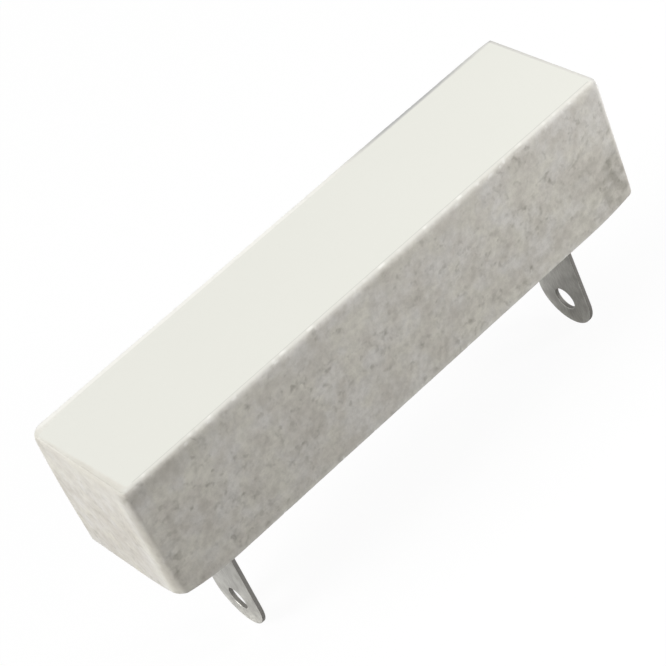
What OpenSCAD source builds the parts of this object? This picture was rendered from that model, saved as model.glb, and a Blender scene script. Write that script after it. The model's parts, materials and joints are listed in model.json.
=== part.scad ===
// Wirewound power resistor: a wound ceramic rod potted with cement in a ceramic trough, on two solder lugs.
// The origin is the middle of the trough's open rim. +Z goes up to the closed top, +X along the trough.

/* [Ceramic case] */
// Length of the case
case_l = 75; // [60:1:110]
// Width of the case
case_w = 19; // [18:0.1:24]
// Height of the case, from its open rim to its closed top
case_h = 18; // [17:0.1:22]
// Thickness of the two long walls
side_wall = 2.6; // [2:0.1:3]
// Thickness of the two end walls
end_wall = 3; // [2:0.1:4]
// Thickness of the closed top
top_wall = 3; // [2:0.1:3.5]
// Rounding of the four upright outer edges
corner_r = 1.3; // [1:0.1:3]
// Rounding of the outer edges round the top and the rim
edge_r = 0.4; // [0.3:0.1:0.9]
// Rounding of the upright edges in the cavity
cavity_corner_r = 1.5; // [1:0.1:2.5]
// Rounding where the cavity's walls meet its closed end
cavity_edge_r = 0.7; // [0.3:0.1:0.9]

/* [Cement] */
// Depth of the cement's face below the rim
cement_sink = 0.5; // [0.1:0.1:1.5]

/* [Wound element] */
// Distance from each end of the case to the outer face of the lug there
lug_inset = 8.8; // [7:0.1:14]
// Turn of the element about its own axis, which leans both lugs towards the front
element_turn = 0.5; // [-8:0.5:8]
// Diameter of the ceramic rod
core_d = 8; // [6:0.5:9]
// Thickness of the end caps' metal
cap_t = 0.5; // [0.3:0.1:0.8]
// Length of each end cap
cap_l = 6; // [4:0.5:9]
// Outer rounding of the end caps' closed ends
cap_bend_r = 0.6; // [0.3:0.1:0.9]

/* [Resistance wire] */
// Diameter of the wire
wire_d = 0.8; // [0.5:0.1:1]
// Distance between turns of the wire
wire_pitch = 2; // [1.4:0.1:3]
// Length of each cap that the wire's end turns take
weld_l = 1.6; // [1:0.1:2.4]
// Gap between the wire and the end cap's rim and skin
wire_gap = 0.02; // [0.01:0.01:0.05]

/* [Terminal lugs] */
// Width of a lug, and the diameter of its round ends
lug_w = 8.8; // [7:0.1:9]
// Thickness of a lug
lug_t = 0.6; // [0.4:0.1:1]
// Length of a lug below the rim
lug_drop = 17.7; // [12:0.1:22]
// Diameter of the hole in a lug
lug_hole_d = 3.2; // [2.5:0.1:4.5]
// Distance of the hole from the middle of the lug's free round end, towards the tip
lug_hole_shift = 0.5; // [0:0.1:1]

/* [Hidden] */
$fn = 64;

// A cut runs this far past the face that it opens
over = 1;

// Inside of the case
cavity_l = case_l - 2 * end_wall;
cavity_w = case_w - 2 * side_wall;
cavity_h = case_h - top_wall;
cavity_over = cavity_edge_r + over;

// The element lies in the middle of the cavity's depth
element_z = cavity_h / 2;
lug_outer_x = case_l / 2 - lug_inset;
cap_outer_x = lug_outer_x - lug_t;
cap_rim_x = cap_outer_x - cap_l;
core_l = 2 * (cap_outer_x - cap_t);
core_r = core_d / 2;
cap_r = core_r + cap_t;

// A lug hangs from the element's axis: how far from it its free round end and its hole are centred
lug_reach = element_z / cos(element_turn) + lug_drop - lug_w / 2;
lug_hole_reach = lug_reach + lug_hole_shift;

// The wire is drawn with flat-sided rings, which lie clear of the rod and the caps between their corners
wire_sides = 6;
wire_steps = 16;
wire_r = wire_d / 2;
wire_flat = wire_r * cos(180 / wire_sides);
chord = cos(180 / wire_steps);
core_level = core_r / chord + wire_flat + wire_gap;
cap_level = cap_r / chord + wire_flat + wire_gap;
climb_end_x = cap_rim_x - wire_r - wire_gap;
climb_start_x = climb_end_x - wire_pitch / 2;
wire_end_x = cap_rim_x + weld_l;
wire_turns = 2 * wire_end_x / wire_pitch;
wire_rings = ceil(wire_turns * wire_steps);

// Rectangle standing on the x axis, with its two outer corners rounded
module edge_section(reach, h, r) {
    square([reach - r, h]);
    translate([0, r]) square([reach, h - 2 * r]);
    for (y = [r, h - r])
        translate([reach - r, y]) circle(r);
}

// Block on z = 0 with rounded upright edges, and a smaller rounding round its top and bottom
module rounded_block(l, w, h, corner, edge) {
    flat_l = l - 2 * corner;
    flat_w = w - 2 * corner;
    translate([-flat_l / 2, -flat_w / 2, 0]) cube([flat_l, flat_w, h]);
    for (turn = [0, 180])
        rotate(turn) {
            translate([-flat_l / 2, flat_w / 2, 0])
                rotate([90, 0, 90]) linear_extrude(flat_l) edge_section(corner, h, edge);
            translate([flat_l / 2, flat_w / 2, 0])
                rotate([90, 0, 0]) linear_extrude(flat_w) edge_section(corner, h, edge);
            translate([flat_l / 2, flat_w / 2, 0])
                rotate_extrude(angle = 90) edge_section(corner, h, edge);
            translate([-flat_l / 2, flat_w / 2, 0])
                rotate(90) rotate_extrude(angle = 90) edge_section(corner, h, edge);
        }
}

// Hollow of the case, which runs out through the rim
module cavity() {
    translate([0, 0, -cavity_over])
        rounded_block(cavity_l, cavity_w, cavity_h + cavity_over, cavity_corner_r, cavity_edge_r);
}

// Places what is drawn along z on the element's axis, turned as the element lies
module on_element() {
    translate([0, 0, element_z]) rotate([-element_turn, 0, 0]) rotate([0, 90, 0]) children();
}

// Cylinder along the element, centred on the given distance from its middle
module element_rod(r, l, x = 0) {
    translate([0, 0, x - l / 2]) cylinder(r = r, h = l);
}

// Outside of one end cap, closed end up
module cap_blank() {
    translate([0, 0, cap_rim_x])
        rotate_extrude() {
            square([cap_r, cap_l - cap_bend_r]);
            square([cap_r - cap_bend_r, cap_l]);
            translate([cap_r - cap_bend_r, cap_l - cap_bend_r])
                intersection() {
                    circle(cap_bend_r);
                    square(cap_bend_r);
                }
        }
}

// Pressed cup that takes the end of the rod
module end_cap() {
    difference() {
        cap_blank();
        element_rod(core_r, core_l);
    }
}

// Tab with round ends, one on the element's axis and one hanging free
module lug_blank() {
    translate([0, 0, cap_outer_x])
        linear_extrude(lug_t) {
            circle(d = lug_w);
            translate([0, -lug_w / 2]) square([lug_reach, lug_w]);
            translate([lug_reach, 0]) circle(d = lug_w);
        }
}

// Stamped lug, which lies flat on the closed end of its cap
module terminal_lug() {
    difference() {
        lug_blank();
        translate([lug_hole_reach, 0, cap_outer_x - over]) cylinder(d = lug_hole_d, h = lug_t + 2 * over);
    }
}

// Height of the wire's middle over the element's axis: on the rod, up the cap's rim, on the cap
function wire_level(x) = lookup(abs(x), [[climb_start_x, core_level], [climb_end_x, cap_level]]);

// Corner of the wire's section at one ring
function wire_point(ring, corner) =
    let (
        share = ring / wire_rings,
        turn = 360 * wire_turns * share,
        x = wire_end_x * (2 * share - 1),
        side = 360 * (corner + 0.5) / wire_sides,
        r = wire_level(x) + wire_r * cos(side)
    )
    [r * cos(turn), r * sin(turn), x + wire_r * sin(side)];

// Helix swept from ring to ring
module wire_helix() {
    points = [
        for (ring = [0:wire_rings], corner = [0:wire_sides - 1]) wire_point(ring, corner)
    ];
    sides = [
        for (ring = [0:wire_rings - 1], corner = [0:wire_sides - 1])
            let (
                a = ring * wire_sides + corner,
                b = ring * wire_sides + (corner + 1) % wire_sides
            )
            each [[a, a + wire_sides, b], [b, a + wire_sides, b + wire_sides]]
    ];
    first_end = [for (corner = [0:wire_sides - 1]) corner];
    last_end = [for (corner = [wire_sides - 1:-1:0]) wire_rings * wire_sides + corner];
    polyhedron(points, concat([first_end], sides, [last_end]));
}

// Room that the element takes in the cement
module element_room() {
    climb_l = wire_end_x + wire_r - climb_start_x + wire_r;
    element_rod(core_level + wire_flat, 2 * cap_rim_x);
    for (end = [0, 1])
        mirror([0, 0, end]) {
            cap_blank();
            lug_blank();
            element_rod(cap_level + wire_flat, climb_l, climb_start_x - wire_r + climb_l / 2);
        }
}

module ceramic_case() {
    color("ivory")
        difference() {
            rounded_block(case_l, case_w, case_h, corner_r, edge_r);
            cavity();
        }
}

module cement_fill() {
    color("lightgray")
        difference() {
            cavity();
            translate([-case_l / 2, -case_w / 2, -2 * cavity_over])
                cube([case_l, case_w, 2 * cavity_over + cement_sink]);
            on_element() element_room();
        }
}

module winding_core() {
    color("linen") on_element() element_rod(core_r, core_l);
}

module resistance_winding() {
    color("dimgray") on_element() wire_helix();
}

module end_cap_left() {
    color("silver") on_element() mirror([0, 0, 1]) end_cap();
}

module end_cap_right() {
    color("silver") on_element() end_cap();
}

module terminal_lug_left() {
    color("darkgray") on_element() mirror([0, 0, 1]) terminal_lug();
}

module terminal_lug_right() {
    color("darkgray") on_element() terminal_lug();
}

ceramic_case();
cement_fill();
winding_core();
resistance_winding();
end_cap_left();
end_cap_right();
terminal_lug_left();
terminal_lug_right();
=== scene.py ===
# Power resistor: wound element potted in a pressed ceramic trough, on two tinned solder lugs
import json
import math
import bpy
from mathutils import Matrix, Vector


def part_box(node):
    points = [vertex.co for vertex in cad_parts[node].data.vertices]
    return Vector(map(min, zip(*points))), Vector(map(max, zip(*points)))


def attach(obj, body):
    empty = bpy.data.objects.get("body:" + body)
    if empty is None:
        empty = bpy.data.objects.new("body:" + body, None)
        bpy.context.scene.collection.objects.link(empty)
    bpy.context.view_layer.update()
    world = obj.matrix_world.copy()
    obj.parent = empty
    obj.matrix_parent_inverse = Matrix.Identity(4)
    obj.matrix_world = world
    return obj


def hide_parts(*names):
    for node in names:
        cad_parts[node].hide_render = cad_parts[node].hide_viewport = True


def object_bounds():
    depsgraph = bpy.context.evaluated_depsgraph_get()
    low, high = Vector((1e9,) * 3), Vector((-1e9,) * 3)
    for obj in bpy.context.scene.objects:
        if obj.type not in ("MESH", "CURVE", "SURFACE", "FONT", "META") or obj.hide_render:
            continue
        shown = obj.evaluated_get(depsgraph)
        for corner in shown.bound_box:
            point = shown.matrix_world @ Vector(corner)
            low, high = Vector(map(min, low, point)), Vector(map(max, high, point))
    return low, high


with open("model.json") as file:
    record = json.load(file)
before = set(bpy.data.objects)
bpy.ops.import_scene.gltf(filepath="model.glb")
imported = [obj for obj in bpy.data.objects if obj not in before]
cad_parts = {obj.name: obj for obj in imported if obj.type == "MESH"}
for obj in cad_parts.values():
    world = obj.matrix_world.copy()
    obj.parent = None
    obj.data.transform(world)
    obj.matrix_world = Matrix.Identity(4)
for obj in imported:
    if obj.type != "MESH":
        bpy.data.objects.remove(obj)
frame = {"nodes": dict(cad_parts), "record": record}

from types import SimpleNamespace

import bmesh
import bpy
import numpy as np
from mathutils import Matrix, Vector, noise

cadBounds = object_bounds()
scene = bpy.context.scene
scene.view_settings.view_transform = "Standard"
mm = 0.001
mounts = {mount["name"]: mount for mount in frame["record"]["mounts"]}
print("frame loaded:", sorted(frame["nodes"]))


def linear(red, green, blue):
    # screen colour, 0 to 255, as the linear colour that a shader takes
    def channel(value):
        share = value / 255
        return share / 12.92 if share <= 0.04045 else ((share + 0.055) / 1.055) ** 2.4
    return (channel(red), channel(green), channel(blue), 1.0)


# Camera: long lens, looking down on the case's top, front and left end, with the horizon rolled
cameraSettings = {
    "aim": (-2.69, -0.14, 7.40),  # mm, point that falls in the middle of the picture
    "azimuth": -24.66,  # degrees
    "elevation": 38.42,
    "roll": -25.56,
    "distance": 299.1,  # mm
    "lens": 139.3,  # mm
    "sensor": 36.0,  # mm
    "clip": (0.01, 20.0),  # m
}


def makeCamera(settings):
    azimuth, elevation, roll = (math.radians(settings[key]) for key in ("azimuth", "elevation", "roll"))
    back = Vector((math.sin(azimuth) * math.cos(elevation),
                   -math.cos(azimuth) * math.cos(elevation),
                   math.sin(elevation)))
    levelRight = Vector((math.cos(azimuth), math.sin(azimuth), 0))
    right = Matrix.Rotation(roll, 3, back) @ levelRight
    up = back.cross(right)
    lens = bpy.data.cameras.new("photoCamera")
    lens.sensor_width = settings["sensor"]
    lens.lens = settings["lens"]
    lens.clip_start, lens.clip_end = settings["clip"]
    camera = bpy.data.objects.new("photoCamera", lens)
    camera.matrix_world = Matrix((right, up, back)).transposed().to_4x4()
    camera.location = (Vector(settings["aim"]) + back * settings["distance"]) * mm
    scene.collection.objects.link(camera)
    scene.camera = camera


makeCamera(cameraSettings)
print("camera placed")


# Small helpers for shader trees
def addNode(tree, kind, inputs=None, **options):
    node = tree.nodes.new(kind)
    for name, value in options.items():
        setattr(node, name, value)
    for name, value in (inputs or {}).items():
        node.inputs[name].default_value = value
    return node


def joinNodes(tree, *pairs):
    for output, target in pairs:
        tree.links.new(output, target)


def feed(tree, socket, value):
    # a number or a colour is set on the socket, an output is linked to it
    if isinstance(value, (int, float, tuple)):
        socket.default_value = value
    else:
        tree.links.new(value, socket)


def newGroup(name, inputs, outputs):
    # node group whose sockets are all plain numbers
    group = bpy.data.node_groups.new(name, "ShaderNodeTree")
    for label, default in inputs.items():
        socket = group.interface.new_socket(label, in_out="INPUT", socket_type="NodeSocketFloat")
        socket.default_value = default
    for label in outputs:
        group.interface.new_socket(label, in_out="OUTPUT", socket_type="NodeSocketFloat")
    return group, group.nodes.new("NodeGroupInput"), group.nodes.new("NodeGroupOutput")


def newMaterial(name):
    material = bpy.data.materials.new(name)
    material.use_nodes = True
    tree = material.node_tree
    return material, tree, tree.nodes["Principled BSDF"]


def mathNode(tree, operation, first, second=None, clamp=False):
    node = addNode(tree, "ShaderNodeMath", operation=operation, use_clamp=clamp)
    feed(tree, node.inputs[0], first)
    if second is not None:
        feed(tree, node.inputs[1], second)
    return node.outputs[0]


def withoutNode(tree, mask, share=1.0):
    # 1 less a share of the mask
    return mathNode(tree, "SUBTRACT", 1.0, mathNode(tree, "MULTIPLY", mask, share))


def rampNode(tree, value, low, high, lowOut=0.0, highOut=1.0):
    limits = {"From Min": low, "From Max": high, "To Min": lowOut, "To Max": highOut}
    node = addNode(tree, "ShaderNodeMapRange", limits, interpolation_type="SMOOTHSTEP")
    tree.links.new(value, node.inputs["Value"])
    return node.outputs["Result"]


def mixColors(tree, factor, first, second, blend="MIX"):
    node = addNode(tree, "ShaderNodeMix", data_type="RGBA", blend_type=blend)
    for slot, value in ((0, factor), (6, first), (7, second)):  # the slots of a colour mix
        feed(tree, node.inputs[slot], value)
    return node.outputs[2]


def millimetreSpace(tree):
    # object coordinates in millimetres
    place = addNode(tree, "ShaderNodeTexCoord")
    scale = addNode(tree, "ShaderNodeVectorMath", {"Scale": 1 / mm}, operation="SCALE")
    tree.links.new(place.outputs["Object"], scale.inputs[0])
    return scale.outputs["Vector"]


def addBump(tree, shader, height, distance):
    bump = addNode(tree, "ShaderNodeBump", {"Strength": 1.0, "Distance": distance * mm})
    joinNodes(tree, (height, bump.inputs["Height"]), (bump.outputs["Normal"], shader.inputs["Normal"]))


def readMask(tree, name):
    return addNode(tree, "ShaderNodeAttribute", attribute_name=name).outputs["Fac"]


# Fired-clay look: clouded patches, fine mottling, ragged dark specks, short curls round the grains
clayLook = {
    "roughness": 0.62,  # of each noise
    "crowd": (0.36, 0.62, 0.2, 1.0),  # noise from and to, and the share of marks that shows at each
    "specks": (0.27, 0.44, 1.0, 0.0),  # the low spots of a noise
    "curlWidth": 0.09,  # in the height of the noise whose level lines they are
    "curlBreaks": (0.5, 0.66),
    "dent": 0.6,  # depth of specks and curls against the mottling
}


def makeClayGroup(look):
    group, given, out = newGroup(
        "clayGrain",
        {"Patch Size": 2.6, "Speck Size": 0.8, "Curl Size": 1.6},
        ("Patches", "Hue Drift", "Mottle", "Specks", "Curls", "Height"))
    space = millimetreSpace(group)

    def noiseAt(name, share, detail, shift):
        # noise as fine as a share of a given size, moved off the others
        size = mathNode(group, "MULTIPLY", given.outputs[name], share)
        moved = addNode(group, "ShaderNodeVectorMath", {1: (shift, shift, shift)}, operation="ADD")
        texture = addNode(group, "ShaderNodeTexNoise", {"Detail": detail, "Roughness": look["roughness"]})
        joinNodes(group, (space, moved.inputs[0]), (moved.outputs["Vector"], texture.inputs["Vector"]),
                  (mathNode(group, "DIVIDE", 1.0, size), texture.inputs["Scale"]))
        return texture.outputs["Fac"]

    patches = noiseAt("Patch Size", 1.0, detail=4.0, shift=0.0)
    drift = noiseAt("Patch Size", 1.5, detail=2.0, shift=40.0)
    mottle = noiseAt("Speck Size", 0.6, detail=3.0, shift=120.0)
    crowd = rampNode(group, noiseAt("Patch Size", 1.8, detail=2.0, shift=80.0), *look["crowd"])

    fine = noiseAt("Speck Size", 1.0, detail=1.6, shift=20.0)
    specks = mathNode(group, "MULTIPLY", crowd, rampNode(group, fine, *look["specks"]))

    # curls: broken stretches of a level line
    slope = mathNode(group, "SUBTRACT", noiseAt("Curl Size", 1.0, detail=1.5, shift=60.0), 0.5)
    line = rampNode(group, mathNode(group, "ABSOLUTE", slope), 0.0, look["curlWidth"], 1.0, 0.0)
    breaks = rampNode(group, noiseAt("Curl Size", 0.8, detail=2.0, shift=100.0), *look["curlBreaks"])
    curls = mathNode(group, "MULTIPLY", mathNode(group, "MULTIPLY", line, breaks), crowd)

    dents = mathNode(group, "MULTIPLY", mathNode(group, "MAXIMUM", specks, curls), look["dent"])
    height = mathNode(group, "SUBTRACT", mathNode(group, "SUBTRACT", mottle, 0.5), dents)
    for name, value in (("Patches", patches), ("Hue Drift", drift), ("Mottle", mottle),
                        ("Specks", specks), ("Curls", curls), ("Height", height)):
        joinNodes(group, (value, out.inputs[name]))
    return group


# Rolled or drawn metal: fine streaks along one direction, blotched tin
def makeStreakGroup():
    group, given, out = newGroup(
        "metalStreak",
        {"Across": 9.0, "Along": 0.35, "Blotch Size": 2.2},
        ("Streaks", "Blotches", "Height"))
    space = millimetreSpace(group)
    stretch = addNode(group, "ShaderNodeCombineXYZ")
    joinNodes(group, (given.outputs["Across"], stretch.inputs["X"]),
              (given.outputs["Across"], stretch.inputs["Y"]),
              (given.outputs["Along"], stretch.inputs["Z"]))
    combed = addNode(group, "ShaderNodeVectorMath", operation="MULTIPLY")
    joinNodes(group, (space, combed.inputs[0]), (stretch.outputs["Vector"], combed.inputs[1]))
    streaks = addNode(group, "ShaderNodeTexNoise", {"Scale": 1.0, "Detail": 3.0, "Roughness": 0.6})
    blotches = addNode(group, "ShaderNodeTexNoise", {"Detail": 4.0, "Roughness": 0.6})
    joinNodes(group, (combed.outputs["Vector"], streaks.inputs["Vector"]),
              (space, blotches.inputs["Vector"]),
              (mathNode(group, "DIVIDE", 1.0, given.outputs["Blotch Size"]), blotches.inputs["Scale"]),
              (streaks.outputs["Fac"], out.inputs["Streaks"]),
              (blotches.outputs["Fac"], out.inputs["Blotches"]),
              (streaks.outputs["Fac"], out.inputs["Height"]))
    return group


clayGrain = makeClayGroup(clayLook)
metalStreak = makeStreakGroup()
print("shared surface effects made")


# Pressed ceramic of the case: off-white clay, pitted on the walls, with a smooth bare panel on top, and
# painted highlights and painted shade on its edges and low on its walls
caseFinish = {
    "grain": {"Patch Size": 2.8, "Speck Size": 1.3, "Curl Size": 2.0},  # mm
    "clay": linear(233, 229, 221),
    "shade": linear(215, 210, 201),
    "cool": linear(228, 226, 223),
    "olive": linear(229, 226, 212),
    # dark colour of dirt and of painted shade
    "dirtAndShade": linear(146, 142, 131),
    # pale colour of worn edges and of painted highlights
    "wearAndHighlight": linear(250, 249, 243),
    "panel": linear(234, 234, 226),
    "panelLine": linear(216, 216, 208),
    "bare": linear(239, 238, 230),  # top round the panel
    "ochre": linear(220, 216, 205),
    "farEdge": linear(186, 186, 184),
    "patches": (0.28, 0.66),  # levels of the noise between which the clay clears
    "drift": (0.36, 0.64),
    "evenHue": 0.5,  # how far the drift in hue is evened out
    "mottle": (0.25, 0.75),
    "mottleDirt": 0.28,  # how much dirt the mottling, the specks, the curls and the pits hold
    "speckDirt": 0.42,
    "curlDirt": 0.28,
    "pitDirt": 0.5,
    "calmLoss": 0.4,  # share of the dirt that calm places lack
    "topClean": 0.85,
    "panelEdge": (-0.05, 0.03),  # mm inside its border between which the panel comes in
    "panelBorder": (0.06, 0.16),  # and between which the line along its border goes
    "panelSmooth": 0.9,  # share of the relief that the panel lacks
    "roughness": 0.85,
    "gloss": 0.2,  # level of its dull shine
    "bump": 0.05,  # mm of relief in the fine tooth
}


def soilWall(tree, clay, masks, finish):
    # clay that drifts in hue, soiled by mottling, specks, curls and pits, with more soil low on the walls as
    # painted shade
    drift = rampNode(tree, clay.outputs["Hue Drift"], *finish["drift"])
    hue = mixColors(tree, drift, finish["cool"], finish["olive"])
    hue = mixColors(tree, finish["evenHue"], hue, finish["clay"])
    cleared = rampNode(tree, clay.outputs["Patches"], *finish["patches"])
    wall = mixColors(tree, cleared, finish["shade"], hue)
    soil = rampNode(tree, clay.outputs["Mottle"], *finish["mottle"], finish["mottleDirt"], 0.0)
    for mask, weight in ((clay.outputs["Specks"], finish["speckDirt"]),
                         (clay.outputs["Curls"], finish["curlDirt"]),
                         (masks["pit"], finish["pitDirt"])):
        soil = mathNode(tree, "ADD", soil, mathNode(tree, "MULTIPLY", mask, weight), clamp=True)
    soil = mathNode(tree, "MULTIPLY", soil, withoutNode(tree, masks["calm"], finish["calmLoss"]))
    return mixColors(tree, soil, wall, finish["dirtAndShade"])


def panelColor(tree, masks, finish):
    # plain panel, with a line along its border where the line mask shows it
    inner = rampNode(tree, masks["inset"], *finish["panelBorder"])
    plain = mathNode(tree, "MAXIMUM", inner, withoutNode(tree, masks["line"]))
    return mixColors(tree, plain, finish["panelLine"], finish["panel"])


def makeCaseMaterial(finish):
    material, tree, shader = newMaterial("caseCeramic")
    clay = addNode(tree, "ShaderNodeGroup", finish["grain"], node_tree=clayGrain)
    names = ("pit", "pale", "top", "inset", "line", "stain", "shade", "calm", "shadeAndDirt")
    masks = {name: readMask(tree, name + "Mask") for name in names}
    wall = soilWall(tree, clay, masks, finish)
    cleanTop = mathNode(tree, "MULTIPLY", masks["top"], finish["topClean"])
    wall = mixColors(tree, cleanTop, wall, finish["bare"])
    # pale wear and painted highlights, stain, painted shade lines, then painted shade with some darkening
    for mask, color in (("pale", "wearAndHighlight"), ("stain", "ochre"), ("shade", "farEdge"), ("shadeAndDirt", "dirtAndShade")):
        wall = mixColors(tree, masks[mask], wall, finish[color])
    inside = mathNode(tree, "MULTIPLY", masks["top"], rampNode(tree, masks["inset"], *finish["panelEdge"]))
    color = mixColors(tree, inside, wall, panelColor(tree, masks, finish))
    joinNodes(tree, (color, shader.inputs["Base Color"]))
    shader.inputs["Roughness"].default_value = finish["roughness"]
    shader.inputs["Specular IOR Level"].default_value = finish["gloss"]
    rough = withoutNode(tree, inside, finish["panelSmooth"])
    addBump(tree, shader, mathNode(tree, "MULTIPLY", clay.outputs["Height"], rough), finish["bump"])
    return material


# Poured cement, greyer and sandier than the case, and the clean fired clay of the rod
clayFinishes = {
    "potCement": {
        "grain": {"Patch Size": 2.0, "Speck Size": 0.6, "Curl Size": 1.2},
        "light": linear(205, 202, 192),
        "dark": linear(168, 164, 153),
        "patches": (0.32, 0.68),
        "pit": linear(122, 118, 108),
        "pitDirt": 0.6,
        "roughness": 0.9,
        "bump": 0.12,
    },
    "rodCeramic": {
        "grain": {"Patch Size": 2.5, "Speck Size": 0.7, "Curl Size": 1.4},
        "light": linear(232, 228, 216),
        "dark": linear(216, 210, 196),
        "patches": (0.3, 0.7),
        "roughness": 0.6,
        "bump": 0.03,
    },
}


def makeClayMaterial(name, finish):
    material, tree, shader = newMaterial(name)
    clay = addNode(tree, "ShaderNodeGroup", finish["grain"], node_tree=clayGrain)
    cleared = rampNode(tree, clay.outputs["Patches"], *finish["patches"])
    color = mixColors(tree, cleared, finish["dark"], finish["light"])
    if "pit" in finish:
        soil = mathNode(tree, "MULTIPLY", clay.outputs["Specks"], finish["pitDirt"])
        color = mixColors(tree, soil, color, finish["pit"])
    joinNodes(tree, (color, shader.inputs["Base Color"]))
    shader.inputs["Roughness"].default_value = finish["roughness"]
    addBump(tree, shader, clay.outputs["Height"], finish["bump"])
    return material


# Tinned sheet of the lugs, pressed steel of the caps and drawn wire share one recipe
metalRecipe = {
    "clouds": 1.2,  # weight of the blotches against the streaks
    "grain": (0.8, 1.4),  # levels between which the metal goes from dark to light
    "polish": (0.3, 0.7),  # and from smooth to rough
    "cutRoughness": 0.75,
}
metalFinishes = {
    "lugTin": {
        "light": linear(184, 183, 178),
        "dark": linear(160, 158, 153),
        "tip": (1.6, 1.6, 1.6, 1.0),  # painted light: how many times brighter the tip is made, against the darker floor it mirrors
        "sheared": linear(138, 136, 132),
        "roughness": (0.36, 0.5),
        "bump": 0.006,  # mm
        "along": 1.1,  # streaks in a millimetre, along the sheet and across it
        "across": 5.0,
    },
    "capSteel": {
        "light": linear(196, 194, 190),
        "dark": linear(168, 166, 161),
        "roughness": (0.3, 0.48),
        "bump": 0.01,
        "along": 2.0,
        "across": 5.0,
    },
    "resistanceWire": {
        "light": linear(142, 136, 128),
        "dark": linear(104, 99, 93),
        "roughness": (0.42, 0.6),
        "bump": 0.01,
        "along": 3.0,
        "across": 3.0,
    },
}


def stampedFinish(tree, color, polish, finish, recipe):
    # sheet with painted light, brighter towards its tip, and dull where it was sheared
    color = mixColors(tree, readMask(tree, "tipMask"), color, finish["tip"], "MULTIPLY")
    cut = readMask(tree, "shearMask")
    dull = mathNode(tree, "MULTIPLY", cut, recipe["cutRoughness"])
    return mixColors(tree, cut, color, finish["sheared"]), mathNode(tree, "MAXIMUM", polish, dull)


def makeMetalMaterial(name, finish, recipe):
    material, tree, shader = newMaterial(name)
    combing = {"Across": finish["across"], "Along": finish["along"]}
    streak = addNode(tree, "ShaderNodeGroup", combing, node_tree=metalStreak)
    clouds = mathNode(tree, "MULTIPLY", streak.outputs["Blotches"], recipe["clouds"])
    grain = mathNode(tree, "ADD", streak.outputs["Streaks"], clouds)
    color = mixColors(tree, rampNode(tree, grain, *recipe["grain"]), finish["dark"], finish["light"])
    polish = rampNode(tree, streak.outputs["Blotches"], *recipe["polish"], *finish["roughness"])
    if "sheared" in finish:
        color, polish = stampedFinish(tree, color, polish, finish, recipe)
    joinNodes(tree, (color, shader.inputs["Base Color"]), (polish, shader.inputs["Roughness"]))
    shader.inputs["Metallic"].default_value = 1.0
    addBump(tree, shader, streak.outputs["Height"], finish["bump"])
    return material


caseCeramic = makeCaseMaterial(caseFinish)
clays = {name: makeClayMaterial(name, finish) for name, finish in clayFinishes.items()}
metals = {name: makeMetalMaterial(name, finish, metalRecipe) for name, finish in metalFinishes.items()}
print("materials made")


# Small helpers for meshes and for the marks on them
def meshFromPoints(name, points, faces):
    data = bpy.data.meshes.new(name)
    data.from_pydata((points * mm).tolist(), [], faces)
    data.validate()
    data.update()
    return data


def meshFromParts(name, mesh):
    # takes over a bmesh, which is freed
    data = bpy.data.meshes.new(name)
    mesh.to_mesh(data)
    mesh.free()
    return data


def linkPiece(name, data, material):
    piece = bpy.data.objects.new(name, data)
    scene.collection.objects.link(piece)
    data.materials.append(material)
    return piece


def shadeSmooth(data):
    data.polygons.foreach_set("use_smooth", [True] * len(data.polygons))


def addMask(piece, name, values):
    mask = piece.data.attributes.new(name, "FLOAT", "POINT")
    mask.data.foreach_set("value", np.asarray(values, np.float32))


def blend(first, last, share):
    return first + (last - first) * share


def softStep(value, low, high):
    share = np.clip((value - low) / (high - low), 0, 1)
    return share * share * (3 - 2 * share)


def near(gap, full, gone):
    # 1 up to the first distance, 0 from the second on
    return 1 - softStep(gap, full, gone)


def swell(points, size, shift=(0.0, 0.0, 0.0)):
    # slow random field, about -1 to 1, at each point
    return np.array([noise.noise(Vector(point) / size + Vector(shift)) for point in points])


def chance(core, seed):
    # random number, -1 to 1, that belongs to one cell of a voronoi pattern
    return noise.cell(core * seed)


def quarterTurn(steps):
    # angles from 0 to 90 degrees
    return [math.radians(90 * step / steps) for step in range(steps + 1)]


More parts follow.
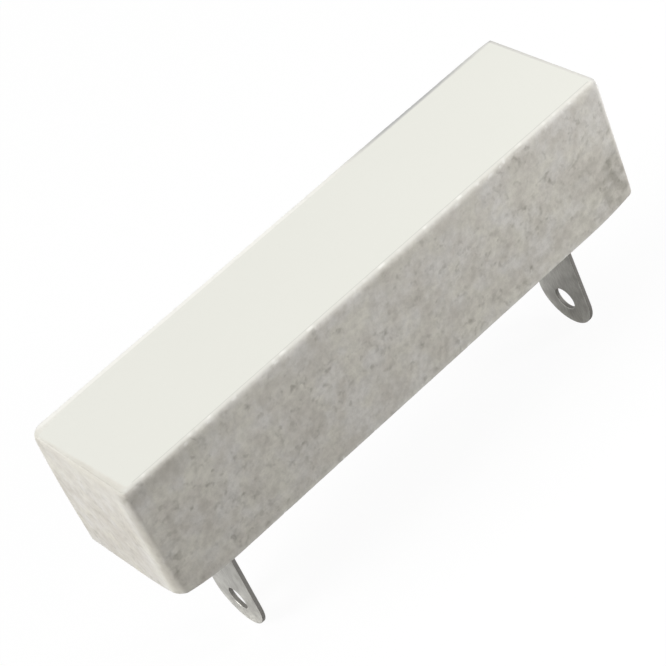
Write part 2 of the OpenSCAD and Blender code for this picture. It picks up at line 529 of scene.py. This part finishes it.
# Case: a lofted trough with rounded edges, then pits, chips and a slow waviness pressed into the mesh
caseSettings = {
    "cell": 0.25,  # mm between mesh lines
    "corners": {  # rounding of each upright edge, mm along and across: at the rim, at the top, power between
        "frontLeft": ((1.1, 2.2), (0.4, 1.2), 0.5),
        "frontRight": ((1.2, 3.2), (0.7, 0.7), 0.7),
        "backLeft": ((0.6, 0.6), (1.8, 1.8), 4.0),
        "backRight": ((1.6, 1.6), (5.0, 0.55), 4.0),
    },
    "lifts": {-1: 1.2, 1: 0.84},  # mm that the rim rises to its front corners, left and right
    "liftReach": 8.4,
    "liftFade": 6.0,  # mm above the rim where the lift ends
    "topRound": {  # mm that each edge of the top is drawn in, and how far below the top that starts
        "left": (0.3, 0.9),
        "right": (0.36, 1.3),
        "front": (0.5, 1.0),
        "back": (0.36, 1.3),
    },
    "rimRound": 0.3,  # rounding of the edge round the rim
    "topSteps": 10,
    "cavityCorner": 1.5,
    "arcSteps": 8,
    "rimSteps": 6,
    "innerSteps": 4,
    "wave": 0.03,  # mm, height of the slow waviness
    "waveSize": 14.0,
    "waveLayers": (1.0, 2.0, 2),  # power of its finer layers, how much finer each is, how many there are
    "tooth": 0.012,
    "toothSize": 0.7,
    "toothLoss": 0.8,  # share of the tooth that the flat of the top lacks
    "pitDepth": 0.06,
    "pitSpacing": 1.9,
    "pitSize": (0.1, 0.24),  # shares of the spacing, for the smallest and the largest pit
    "pitFloor": 0.3,  # share of a pit's size that is its flat bottom
    "pitCrowd": 5.0,  # mm, size of the places where pits crowd
    "pitCrowding": 0.8,  # weight of those places against chance
    "pitLevel": 0.45,  # what both together have to pass for a pit
    "chipDepth": 0.04,
    "chipSize": 0.7,
    "edgeBand": 0.7,  # mm, width of the band along the edges that is chipped
    "patchSize": 1.3,  # mm, of the patches of stain and of painted shade
    "glintSize": 1.4,  # mm, of the glints along the front of the top
    "margins": {"front": 0.62, "back": 0.95, "right": 0.7},  # mm of bare top round the smooth panel
    "leftMargin": (1.15, 0.4),  # at the front and at the back
    "leftSoft": 0.2,  # slope of the panel's border there, which is smeared
    "backCorner": (0.9, 9.0),  # mm that the back margin widens at the left, and the length of that
}


def cornerRadius(x, y, share, corners, axis):
    # rounding that belongs to each point: by the corner it lies towards and by its share of the height
    def radius(name):
        rim, top, power = corners[name]
        return blend(rim[axis], top[axis], share ** power)
    front = np.where(x < 0, radius("frontLeft"), radius("frontRight"))
    back = np.where(x < 0, radius("backLeft"), radius("backRight"))
    return np.where(y < 0, front, back)


def roundCorners(x, y, half, radius):
    # turns each corner of a rectangle into a quarter of an oval, and moves the points inside with it
    coreX = np.clip(x, radius[0] - half[0], half[0] - radius[0])
    coreY = np.clip(y, radius[1] - half[1], half[1] - radius[1])
    shareX, shareY = np.abs(x - coreX) / radius[0], np.abs(y - coreY) / radius[1]
    reach = np.hypot(shareX, shareY)
    scale = np.where(reach > 0, np.maximum(shareX, shareY) / np.where(reach > 0, reach, 1), 1)
    return coreX + (x - coreX) * scale, coreY + (y - coreY) * scale


def rectangleLoop(linesX, linesY):
    # lattice points once round a rectangle, counter-clockwise
    lastX, lastY = len(linesX) - 1, len(linesY) - 1
    loop = [(i, 0) for i in range(lastX)]
    loop += [(lastX, j) for j in range(lastY)]
    loop += [(i, lastY) for i in range(lastX, 0, -1)]
    loop += [(0, j) for j in range(lastY, 0, -1)]
    return loop


def edgeInset(inset, drop, depth):
    # how far an oval edge is drawn in at a depth below the top
    share = max(0.0, 1 - depth / drop)
    return inset * (1 - math.sqrt(1 - share ** 2))


def caseStations(settings, height):
    # (inset on the left, right, front and back, z) up the outside: rounded rim edge, wall, rounded top edge
    rim, edges = settings["rimRound"], settings["topRound"].values()
    drop = max(depth for inset, depth in edges)
    span = height - rim - drop
    count = round(span / settings["cell"])
    levels = [rim + span * step / count for step in range(1, count)]
    levels += [height - drop * (1 - math.cos(turn)) for turn in reversed(quarterTurn(settings["topSteps"]))]
    rimArc = [([rim * (1 - math.sin(turn))] * 4, rim * (1 - math.cos(turn)))
              for turn in quarterTurn(settings["arcSteps"])]
    return rimArc + [([edgeInset(*edge, height - z) for edge in edges], z) for z in levels]


def newLoft(settings):
    # lattice whose lines are shares of half the length and width, and the mesh that grows on it ring by ring
    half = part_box("ceramic_case")[1] / mm
    linesX, linesY = (np.linspace(-1, 1, round(2 * reach / settings["cell"]) + 1) for reach in half[:2])
    return SimpleNamespace(half=half, linesX=linesX, linesY=linesY, loop=rectangleLoop(linesX, linesY),
                           corners=settings["corners"], points=[], faces=[])


def latticeShares(loft, places):
    return np.array([loft.linesX[i] for i, j in places]), np.array([loft.linesY[j] for i, j in places])


def roundedPlaces(loft, places, insets, z):
    # lattice places at one height, drawn in by the insets and with the corners rounded
    shareX, shareY = latticeShares(loft, places)
    left, right, front, back = insets
    ends, sides = np.where(shareX < 0, left, right), np.where(shareY < 0, front, back)
    reach = (loft.half.x - ends, loft.half.y - sides)
    x, y = shareX * reach[0], shareY * reach[1]
    radius = [cornerRadius(x, y, z / loft.half.z, loft.corners, axis) - inset
              for axis, inset in enumerate((ends, sides))]
    return roundCorners(x, y, reach, radius)


def addRing(loft, x, y, z):
    start = len(loft.points)
    loft.points.extend(zip(x, y, [z] * len(x)))
    return range(start, len(loft.points))


def bridgeRings(loft, rings):
    for first, second in zip(rings, rings[1:]):
        for step in range(len(first)):
            after = (step + 1) % len(first)
            loft.faces.append((first[step], first[after], second[after], second[step]))


def addWalls(loft, stations):
    rings = [addRing(loft, *roundedPlaces(loft, loft.loop, insets, z), z) for insets, z in stations]
    bridgeRings(loft, rings)
    return rings


def addTop(loft, edge, station):
    # the lattice inside the last ring of the walls
    columns, rows = len(loft.linesX) - 1, len(loft.linesY) - 1
    inner = [(i, j) for i in range(1, columns) for j in range(1, rows)]
    ring = addRing(loft, *roundedPlaces(loft, inner, *station), loft.half.z)
    number = dict(zip(loft.loop + inner, [*edge, *ring]))
    for i in range(columns):
        for j in range(rows):
            loft.faces.append((number[i, j], number[i + 1, j], number[i + 1, j + 1], number[i, j + 1]))


def addTrough(loft, rim, station, settings):
    # flat rim, then the walls of the cavity up to its closed end
    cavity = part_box("cement_fill")[1] / mm
    shareX, shareY = latticeShares(loft, loft.loop)
    mouthX, mouthY = roundCorners(shareX * cavity.x, shareY * cavity.y, cavity[:2],
                                  [settings["cavityCorner"]] * 2)
    outX, outY = roundedPlaces(loft, loft.loop, *station)
    rings = [rim]
    for step in range(1, settings["rimSteps"] + 1):
        share = step / settings["rimSteps"]
        rings.append(addRing(loft, blend(outX, mouthX, share), blend(outY, mouthY, share), 0.0))
    for step in range(1, settings["innerSteps"] + 1):
        rings.append(addRing(loft, mouthX, mouthY, cavity.z * step / settings["innerSteps"]))
    for outer, inner in zip(rings, rings[1:]):
        bridgeRings(loft, (inner, outer))
    loft.faces.append(tuple(reversed(rings[-1])))


def loftCase(settings):
    loft = newLoft(settings)
    stations = caseStations(settings, loft.half.z)
    rings = addWalls(loft, stations)
    addTop(loft, rings[-1], stations[-1])
    addTrough(loft, rings[0], stations[0], settings)
    return np.array(loft.points), loft.faces, loft.half


def liftRim(points, half, settings):
    # lets the rim rise towards its two front corners
    fade = np.clip(1 - points[:, 2] / settings["liftFade"], 0, 1) ** 2
    for side, lift in settings["lifts"].items():
        gap = np.hypot(points[:, 0] - side * half.x, points[:, 1] + half.y) / settings["liftReach"]
        points[:, 2] += lift * fade * np.clip(1 - gap, 0, 1) ** 2


def readSpots(piece, points, half, settings):
    # where each point lies, in mm from each face of the case, and what several masks need there
    normals = np.zeros(points.size)
    piece.data.vertices.foreach_get("normal", normals)
    x, y, z = points.T
    spots = SimpleNamespace(points=points, normals=normals.reshape(-1, 3), x=x, y=y, z=z)
    spots.left, spots.right = x + half.x, half.x - x
    spots.front, spots.back = y + half.y, half.y - y
    spots.end, spots.side = half.x - np.abs(x), half.y - np.abs(y)
    spots.below = half.z - z
    spots.inTrough = (np.minimum(spots.end, spots.side) > 1) & (spots.below > 0.9)
    spots.top = near(spots.below, 0.1, 0.25)
    spots.endOn = spots.normals[:, 0] ** 2  # 1 on the two ends
    gaps = [spots.end, spots.side, np.minimum(spots.below, z)]
    spots.edge = np.sort(gaps, axis=0)[1]  # closest outer edge
    spots.edgeLevel = near(spots.edge, 0.35, settings["edgeBand"])
    spots.chip = swell(points, settings["chipSize"], shift=(11.0, 5.0, 2.0))
    spots.patchy = softStep(swell(points, settings["patchSize"], shift=(2.0, 9.0, 4.0)), -0.3, 0.5)
    along = np.outer(x, (1, 0, 0))
    stretches = softStep(swell(along, settings["glintSize"], shift=(0.0, 4.0, 1.0)), 0.2, 0.45)
    spots.glint = stretches * near(spots.below, 0.05, 0.2) * near(spots.front, 0.45, 0.6) * (spots.end > 1)
    return spots


def insetMask(spots, settings):
    # distance inside the border of the smooth panel on the top
    margins = settings["margins"]
    widening, length = settings["backCorner"]
    leftMargin = blend(*settings["leftMargin"], spots.front / (spots.front + spots.back))
    backMargin = margins["back"] + widening * np.maximum(0, 1 - spots.left / length) ** 2
    return np.min([spots.front - margins["front"],
                   spots.back - backMargin,
                   settings["leftSoft"] * (spots.left - leftMargin),
                   spots.right - margins["right"]], axis=0)


def pitMask(spots, settings):
    # round pits of differing size, crowded in some places, none on the top
    crowd = settings["pitCrowding"] * swell(spots.points, settings["pitCrowd"], shift=(3.1, 7.7, 1.3))
    pits = np.zeros(len(spots.points))
    for index, point in enumerate(spots.points):
        distances, cores = noise.voronoi(Vector(point) / settings["pitSpacing"])
        size = blend(*settings["pitSize"], abs(chance(cores[0], seed=37.3)))
        if chance(cores[0], seed=91.7) + crowd[index] > settings["pitLevel"]:
            pits[index] = near(distances[0], settings["pitFloor"] * size, size)
    return pits * (1 - spots.top)


# Marks on the case, wear and stains with painted highlights and painted shade: how strong each one is, 0 to
# 1, or how strong in one place and in another
caseWear = {
    "rubbed": (0.2, 0.3),  # pale: worn along the top edges and along the lower ones
    "endRub": 0.1,  # share of that along the edges of the ends
    # painted highlights: sparkles on chipped edges, bands beside the upright edges, the back edge of the
    # top, the top of the left end
    "sparkle": 0.7,
    "band": 0.25,
    "upright": 0.85,
    "backEdge": 0.8,
    "leftEnd": 0.22,
    "corner": 0.4,  # darker: mostly painted shade
    "ridge": (0.3, 0.4),  # at the back and at the front
    "margin": (0.04, 0.12),
    "underEdge": 0.2,
    "lowEnd": 0.04,
    "farLow": 0.5,
    "low": 0.06,
    "tinge": (0.3, 0.6),  # stain: between its patches and in them
    "tingeBack": 0.65,  # share of it that is left towards the back
    "frontTinge": 0.15,
    "rightLine": (0.25, 0.45),  # grey lines: at the front and at the back
    "backLine": (1.0, 0.5),  # further left and at the right
    "frontLine": 0.12,
    "calm": (0.6, -1.0),  # less soil near the top, and more low down, as painted shade
}


def paleMask(spots, wear):
    # pale edges: wear along them, and painted highlights: sparkles on the long ones, glints at the front of
    # the top, bands beside the front upright edges, the left of the back edge and the top of the left end
    isFront = spots.y < 0
    along = np.where(spots.end > 1, 1.0, wear["endRub"]) * spots.edgeLevel
    rubbed = np.where(spots.below < 2, *wear["rubbed"]) * (1 - spots.top)
    band = softStep(spots.side, 1.2, 2.2) * near(spots.side, 2.4, 4.0) * spots.endOn
    upright = near(spots.right, 0.1, 1.1) * near(spots.front, 0.3, 2.6) * softStep(spots.z, 2, 12)
    backEdge = spots.top * near(spots.x, 2, 16) * near(spots.back, 0.8, 1.0)
    leftEnd = near(spots.below, 1, 10) * spots.endOn ** 2 * (spots.x < 0)
    return np.max([along * (rubbed + wear["sparkle"] * softStep(spots.chip, 0.36, 0.56)),
                   wear["band"] * band * isFront,
                   wear["upright"] * upright * isFront,
                   wear["backEdge"] * backEdge,
                   wear["leftEnd"] * leftEnd,
                   spots.glint], axis=0)


def shadeAndDirtMask(spots, wear):
    # darker: painted shade on the front left upright edge, on the rounding of the top's left edge, low on
    # the left end and low on the front wall, in patches towards the right; also darker just below the front
    # edge near the left end and along the left edge of the top
    isFront = spots.y < 0
    frontWall = isFront * (1 - spots.endOn)
    corner = near(spots.side, 0.2, 2.2) * near(spots.left, 0.15, 0.7) * softStep(spots.below, 0.1, 0.8)
    # the factor takes the slant to 1 where the top bends to the left
    slant = 2.6 * np.maximum(0, -spots.normals[:, 0]) * spots.normals[:, 2] ** 2
    margin = near(spots.left, 0.2, 0.9) * spots.top
    underEdge = near(spots.left, 8, 18) * near(spots.below, 1.5, 3.5) * softStep(spots.below, 0.2, 0.7)
    lowEnd = softStep(spots.below, 8, 16) * spots.endOn * (spots.x < 0)
    farLow = spots.patchy * near(spots.right, 4, 11) * softStep(spots.below, 8, 12)
    return np.max([wear["corner"] * corner * isFront,
                   blend(*wear["ridge"], near(spots.front, 5.7, 12.4)) * slant,
                   blend(*wear["margin"], near(spots.front, 7.6, 12.4)) * margin,
                   wear["underEdge"] * underEdge * frontWall,
                   wear["lowEnd"] * lowEnd,
                   wear["farLow"] * farLow * frontWall,
                   wear["low"] * softStep(spots.below, 7, 14) * frontWall], axis=0)


def stainMask(spots, wear):
    # warm tinge round the top of the left end, and a trace of it along the front of the top
    warm = near(spots.left, 0.9, 1.4) * near(spots.below, 0.5, 2.2) * softStep(spots.side, 0.2, 0.8)
    warm = warm * blend(*wear["tinge"], spots.patchy)
    warm = warm * blend(wear["tingeBack"], 1.0, near(spots.front, 7.6, 13))
    return warm + wear["frontTinge"] * spots.top * near(spots.front, 0.9, 1.2) * (spots.end > 0.9)


def shadeMask(spots, wear):
    # grey lines along the right, the far part of the back and the front of the top
    right = blend(*wear["rightLine"], softStep(spots.y, -6, 6))
    right = right * near(spots.right, 0.55, 0.75) * near(spots.below, 0.5, 1.0)
    back = softStep(spots.x, 10, 20) * blend(*wear["backLine"], softStep(spots.x, 26, 37))
    back = back * near(spots.back, 0.7, 0.95) * near(spots.below, 0.5, 1.2)
    front = wear["frontLine"] * spots.top * near(spots.front, 0.6, 0.9) * (1 - spots.glint)
    return right + back + front


def lineMask(spots):
    # where the border of the smooth panel shows
    return (spots.front < 1.5) * (spots.left > 2) * (spots.right > 1)


def calmMask(spots, wear):
    # less soil on the ends and near the top, more low on the walls as painted shade
    return np.maximum(spots.endOn, blend(*wear["calm"], softStep(spots.below, 2, 14)))


def paintCase(spots, settings, wear):
    return {
        "pitMask": pitMask(spots, settings),
        "paleMask": paleMask(spots, wear),
        "topMask": spots.top,
        "insetMask": insetMask(spots, settings),
        "lineMask": lineMask(spots),
        "stainMask": stainMask(spots, wear),
        "shadeMask": shadeMask(spots, wear),
        "calmMask": calmMask(spots, wear),
        "shadeAndDirtMask": shadeAndDirtMask(spots, wear),
    }


def pressDepth(spots, pits, settings):
    # mm that each point moves outwards: slow waviness, fine tooth, pits, chips along the edges
    wave = np.array([noise.fractal(Vector(point) / settings["waveSize"], *settings["waveLayers"])
                     for point in spots.points])
    flat = spots.top * softStep(spots.edge, 0.5, 0.7)
    tooth = (1 - settings["toothLoss"] * flat) * swell(spots.points, settings["toothSize"])
    chips = spots.edgeLevel * softStep(spots.chip, 0.35, 0.7)
    return (settings["wave"] * wave + settings["tooth"] * tooth
            - settings["pitDepth"] * pits - settings["chipDepth"] * chips)


def pressCase(piece, points, half, settings, wear):
    spots = readSpots(piece, points, half, settings)
    masks = paintCase(spots, settings, wear)
    outside = np.where(spots.inTrough, 0.0, 1.0)  # the trough's own walls stay plain
    depth = outside * pressDepth(spots, masks["pitMask"], settings)
    moved = points + spots.normals * depth[:, None]
    piece.data.vertices.foreach_set("co", (moved * mm).ravel())
    piece.data.update()
    for name, values in masks.items():
        addMask(piece, name, values * outside)


casePoints, caseFaces, caseHalf = loftCase(caseSettings)
liftRim(casePoints, caseHalf, caseSettings)
caseShell = linkPiece("caseShell", meshFromPoints("caseShell", casePoints, caseFaces), caseCeramic)
shadeSmooth(caseShell.data)
pressCase(caseShell, casePoints, caseHalf, caseSettings, caseWear)
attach(caseShell, "root")
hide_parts("ceramic_case")
print("case made:", len(casePoints), "points")


# Cement: the CAD block with its open face cut into a fine grid and cast rough
cementSettings = {
    "cell": 0.3,  # mm
    "rough": 0.16,
    "roughSize": 2.4,
    "roughLayers": (0.8, 2.0, 4),  # power of its finer layers, how much finer each is, how many there are
    "sand": 0.05,
    "sandSize": 0.5,
    "meniscus": 0.32,  # mm that the cement climbs where it wets a wall or a lug
    "meniscusReach": 0.9,
    "lugReach": 4.6,  # mm from the middle line to just past the lugs' edges
    "bubble": 0.25,
    "bubbleSpacing": 2.6,
    "bubbleSize": (0.06, 0.2),  # shares of the spacing, for its flat bottom and its edge
    "bubbleLevel": 0.2,  # what chance has to pass for a bubble
    "rimGap": 0.02,  # mm that the highest cement stays inside the rim
}


def openFaces(mesh, level):
    # faces of the open side, which look straight down and lie on its level
    return [face for face in mesh.faces
            if face.normal.z < -0.99 and abs(face.calc_center_median().z - level) < 1e-5]


def sliceOpenFace(mesh, level, settings, low, high):
    for axis in (0, 1):
        count = round((high[axis] - low[axis]) / (settings["cell"] * mm))
        for step in range(1, count):
            spot = Vector((0, 0, level))
            spot[axis] = low[axis] + (high[axis] - low[axis]) * step / count
            facing = Vector((1, 0, 0)) if axis == 0 else Vector((0, 1, 0))
            cut = openFaces(mesh, level)
            edges = {edge for face in cut for edge in face.edges}
            corners = {corner for face in cut for corner in face.verts}
            bmesh.ops.bisect_plane(mesh, geom=cut + list(edges) + list(corners),
                                   plane_co=spot, plane_no=facing, dist=1e-7)


def cementRise(place, high, lugs, settings):
    # mm that a point of the open face stands out: meniscus, cast roughness, sand, bubbles
    gap = min(high.x / mm - abs(place.x), high.y / mm - abs(place.y))
    if abs(place.y) <= settings["lugReach"]:
        for lugLow, lugHigh in lugs:
            gap = min(gap, max(lugLow.x / mm - place.x, place.x - lugHigh.x / mm, 0.0))
    rise = settings["rough"] * noise.fractal(place / settings["roughSize"], *settings["roughLayers"])
    rise += settings["sand"] * noise.noise(place / settings["sandSize"])
    distances, cores = noise.voronoi(place / settings["bubbleSpacing"])
    if chance(cores[0], seed=53.1) > settings["bubbleLevel"]:
        rise -= settings["bubble"] * near(distances[0], *settings["bubbleSize"])
    return settings["meniscus"] * near(gap, 0.0, settings["meniscusReach"]) + rise


def castCement(settings):
    low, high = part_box("cement_fill")
    lugs = [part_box(name) for name in ("terminal_lug_left", "terminal_lug_right")]
    level = low.z
    mesh = bmesh.new()
    mesh.from_mesh(frame["nodes"]["cement_fill"].data)
    bmesh.ops.remove_doubles(mesh, verts=mesh.verts, dist=2e-6)
    mesh.normal_update()
    sliceOpenFace(mesh, level, settings, low, high)
    mesh.normal_update()
    highest = level / mm - settings["rimGap"]
    for corner in {corner for face in openFaces(mesh, level) for corner in face.verts}:
        rise = cementRise(corner.co / mm, high, lugs, settings)
        corner.co.z = level - min(rise, highest) * mm
    mesh.normal_update()
    return linkPiece("cementBed", meshFromParts("cementBed", mesh), clays["potCement"])


cementBed = castCement(cementSettings)
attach(cementBed, "root")
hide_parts("cement_fill")
print("cement cast:", len(cementBed.data.vertices), "points")


# Lugs: stamped tabs whose edges are rolled on both faces, with a sheared band between
lugSettings = {
    "arcSteps": 40,
    "sideSteps": 24,
    "edgeRoll": 0.11,  # mm, rounding left by the punch
    "rollSteps": 4,
    "shearStart": 0.5,  # share of the rolled edge where the sheared band starts
    "sharpAngle": 40,  # degrees
}


def lugOutline(settings, length, radius):
    # stadium in the lug's own plane: x across, y down from the element's axis
    arc = [math.pi * step / settings["arcSteps"] for step in range(settings["arcSteps"])]
    down = [length * step / settings["sideSteps"] for step in range(settings["sideSteps"])]
    outline = [(-radius * math.cos(turn), -radius * math.sin(turn)) for turn in arc]
    outline += [(radius, y) for y in down]
    outline += [(radius * math.cos(turn), length + radius * math.sin(turn)) for turn in arc]
    outline += [(-radius, length - y) for y in down]
    return outline


def holeOutline(settings, reach, radius):
    count = 2 * settings["arcSteps"]
    turns = [2 * math.pi * step / count for step in range(count)]
    return [(radius * math.cos(turn), reach + radius * math.sin(turn)) for turn in turns]


def rollStations(settings, thickness):
    # (shrink, depth through the sheet), from the outer face to the inner one
    roll = settings["edgeRoll"]
    outer = [(roll * (1 - math.sin(turn)), roll * (1 - math.cos(turn)))
             for turn in quarterTurn(settings["rollSteps"])]
    return outer + [(shrink, thickness - depth) for shrink, depth in reversed(outer)]


def measureLug(node, mountName):
    # the lug's own directions and sizes in mm, from the CAD boxes and the mount of its hole
    low, high = (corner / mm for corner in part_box(node))
    axisLow, axisHigh = (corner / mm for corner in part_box("winding_core"))
    axis = (axisLow + axisHigh) / 2
    hole = Vector(mounts[mountName]["pos_m"]) / mm
    hang = Vector((0, hole.y - axis.y, hole.z - axis.z))
    down = hang.normalized()
    radius = high.z - axis.z
    isLeft = hole.x < 0
    return SimpleNamespace(
        axis=axis,
        down=down,
        across=Vector((1, 0, 0)).cross(down),
        outside=-1 if isLeft else 1,
        faceX=low.x if isLeft else high.x,
        middleX=(low.x + high.x) / 2,
        thickness=high.x - low.x,
        radius=radius,
        length=(axis.z - radius - low.z) / -down.z,
        holeRadius=mounts[mountName]["dims"]["r_mm"],
        holeReach=hang.length,
        tipZ=low.z)


def shapeLug(lug, settings):
    mesh = bmesh.new()

    def ring(outline, depth):
        start = Vector((lug.faceX - lug.outside * depth, lug.axis.y, lug.axis.z))
        return [mesh.verts.new((start + lug.across * x + lug.down * y) * mm) for x, y in outline]

    def bridge(first, second):
        for step in range(len(first)):
            after = (step + 1) % len(first)
            mesh.faces.new((first[step], first[after], second[after], second[step]))

    def fillFace(outer, inner):
        edges = [mesh.edges.get((loop[step - 1], loop[step]))
                 for loop in (outer, inner) for step in range(len(loop))]
        bmesh.ops.triangle_fill(mesh, use_beauty=True, edges=edges)

    stations = rollStations(settings, lug.thickness)
    outer = [ring(lugOutline(settings, lug.length, lug.radius - shrink), depth)
             for shrink, depth in stations]
    inner = [ring(holeOutline(settings, lug.holeReach, lug.holeRadius + shrink), depth)
             for shrink, depth in stations]
    for rings in (outer, inner):
        for first, second in zip(rings, rings[1:]):
            bridge(first, second)
    fillFace(outer[0], inner[0])
    fillFace(outer[-1], inner[-1])
    bmesh.ops.recalc_face_normals(mesh, faces=mesh.faces)
    return mesh


def stampLug(name, node, mountName, settings):
    lug = measureLug(node, mountName)
    data = meshFromParts(name, shapeLug(lug, settings))
    piece = linkPiece(name, data, metals["lugTin"])
    shadeSmooth(data)
    data.set_sharp_from_angle(angle=math.radians(settings["sharpAngle"]))
    reach = lug.thickness / 2 - settings["edgeRoll"] * settings["shearStart"]
    places = [point.co / mm for point in data.vertices]
    addMask(piece, "shearMask", [1.0 if abs(place.x - lug.middleX) < reach else 0.0 for place in places])
    addMask(piece, "tipMask", [place.z / lug.tipZ for place in places])  # 0 at the rim, 1 at the tip
    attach(piece, "root")
    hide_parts(node)
    return piece


lugLeft = stampLug("lugLeft", "terminal_lug_left", "lug_hole_left", lugSettings)
lugRight = stampLug("lugRight", "terminal_lug_right", "lug_hole_right", lugSettings)
print("lugs stamped:", len(lugLeft.data.vertices), "points each")


# Inner pieces keep their CAD shapes
innerFinishes = {
    "winding_core": clays["rodCeramic"],
    "resistance_winding": metals["resistanceWire"],
    "end_cap_left": metals["capSteel"],
    "end_cap_right": metals["capSteel"],
}
for node, material in innerFinishes.items():
    data = frame["nodes"][node].data
    data.materials.clear()
    data.materials.append(material)
print("inner pieces finished")


# Studio: white floor under the lugs' tips, a soft lamp overhead, a key lamp from the left, a weak fill
white = (1.0, 1.0, 1.0, 1.0)
studioSettings = {
    "floorSize": 6.0,  # m
    "floorColor": (0.44, 0.44, 0.44, 1.0),  # for the light that it throws back
    "paleMirrored": 0.5,  # how far that colour goes to white where metal mirrors it
    "whiteSeen": 0.95,  # share of plain white in the floor that the camera sees
    "whiteMirrored": 0.13,  # and in the floor that metal mirrors
    "worldLight": 0.1,
    "lamps": {  # m from the middle of the case, m across, W
        "overLamp": ((0.0, 0.0, 1.3), 0.9, 5.75),
        "keyLamp": ((-1.15, 0.06, 0.85), 0.7, 17.4),
        "fillLamp": ((0.2, -0.14, 0.07), 0.08, 0.328),
    },
}


def whiteForEye(tree, seen, mirrored):
    # how far a ray sees white: camera rays, then mirrored and see-through ones, none for falling light
    path = addNode(tree, "ShaderNodeLightPath")
    away = mathNode(tree, "MAXIMUM", path.outputs["Is Glossy Ray"], path.outputs["Is Transmission Ray"])
    return mathNode(tree, "MAXIMUM", mathNode(tree, "MULTIPLY", path.outputs["Is Camera Ray"], seen),
                    mathNode(tree, "MULTIPLY", away, mirrored))


def makeFloorMaterial(settings):
    # matte, with a share of plain white for the eye, and clear from below
    material = bpy.data.materials.new("studioFloor")
    material.use_nodes = True
    tree = material.node_tree
    tree.nodes.clear()
    matte = addNode(tree, "ShaderNodeBsdfDiffuse")
    pale = mixColors(tree, whiteForEye(tree, 1.0, settings["paleMirrored"]), settings["floorColor"], white)
    shine = addNode(tree, "ShaderNodeEmission", {"Strength": 1.0})
    share = whiteForEye(tree, settings["whiteSeen"], settings["whiteMirrored"])
    lit = addNode(tree, "ShaderNodeMixShader")
    clear = addNode(tree, "ShaderNodeBsdfTransparent")
    below = addNode(tree, "ShaderNodeNewGeometry")
    shown = addNode(tree, "ShaderNodeMixShader")
    output = addNode(tree, "ShaderNodeOutputMaterial")
    joinNodes(tree, (pale, matte.inputs["Color"]),
              (share, lit.inputs[0]),
              (matte.outputs[0], lit.inputs[1]),
              (shine.outputs[0], lit.inputs[2]),
              (below.outputs["Backfacing"], shown.inputs[0]),
              (lit.outputs[0], shown.inputs[1]),
              (clear.outputs[0], shown.inputs[2]),
              (shown.outputs[0], output.inputs["Surface"]))
    return material


def makeFloor(settings):
    level = cadBounds[0].z
    half = settings["floorSize"] / 2
    corners = ((-half, -half), (half, -half), (half, half), (-half, half))
    mesh = bmesh.new()
    mesh.faces.new([mesh.verts.new((x, y, level)) for x, y in corners])
    floor = linkPiece("studioFloor", meshFromParts("studioFloor", mesh), makeFloorMaterial(settings))


def makeWorld(settings):
    world = bpy.data.worlds.new("studioWorld")
    scene.world = world
    world.use_nodes = True
    tree = world.node_tree
    sky = tree.nodes["Background"]
    sky.inputs["Color"].default_value = white
    strength = rampNode(tree, whiteForEye(tree, 1.0, 1.0), 0.0, 1.0, settings["worldLight"], 1.0)
    joinNodes(tree, (strength, sky.inputs["Strength"]))


def makeLamp(name, place, size, power):
    low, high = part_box("ceramic_case")
    middle = (low + high) / 2
    light = bpy.data.lights.new(name, "AREA")
    light.shape = "SQUARE"
    light.size = size
    light.energy = power
    lamp = bpy.data.objects.new(name, light)
    lamp.location = middle + Vector(place)
    lamp.rotation_euler = Vector(place).to_track_quat("Z", "Y").to_euler()
    lamp.visible_camera = False
    scene.collection.objects.link(lamp)


makeFloor(studioSettings)
makeWorld(studioSettings)
for name, lamp in studioSettings["lamps"].items():
    makeLamp(name, *lamp)
print("studio set")
